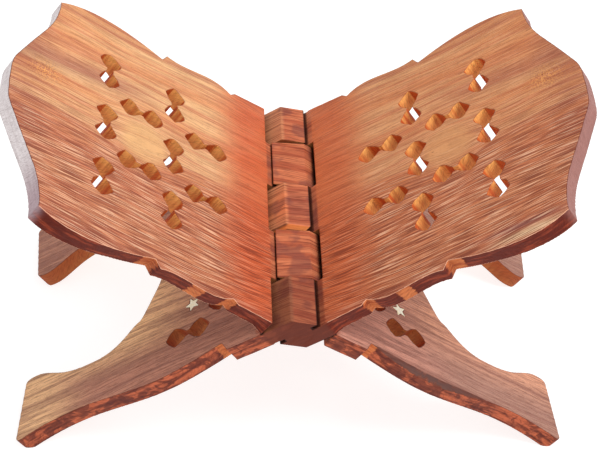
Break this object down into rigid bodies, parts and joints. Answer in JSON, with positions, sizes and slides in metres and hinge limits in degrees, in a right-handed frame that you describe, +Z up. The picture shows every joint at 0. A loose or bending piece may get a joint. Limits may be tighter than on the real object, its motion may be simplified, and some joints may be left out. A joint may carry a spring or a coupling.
{
  "type": "folding book stand",
  "caption": "Folding wooden X-shaped book stand carved from one plank, with a knuckle hinge, pierced page rests, arched legs and brass star inlays.",
  "frame": {"origin": "on the ground, midway between the four feet, below the hinge", "axes": "+X to the right page rest, +Y along the hinge to the far side, +Z up"},
  "size_m": [0.357, 0.2052, 0.228],
  "materials": {
    "rosewood": "oiled, hand carved, open grain",
    "brass": "flush inlay, lightly polished"
  },
  "bodies": {
    "right_board": {"right_page_board": "rosewood", "star_left_front": "brass", "star_left_rear": "brass"},
    "left_board": {"left_page_board": "rosewood", "star_right_front": "brass", "star_right_rear": "brass"}
  },
  "joints": [
    {"name": "fold", "type": "hinge", "parent": "right_board", "child": "left_board", "pos_m": [0, 0, 0.11155], "axis": [0, 1, 0], "range_deg": [0, 111.4]}
  ]
}
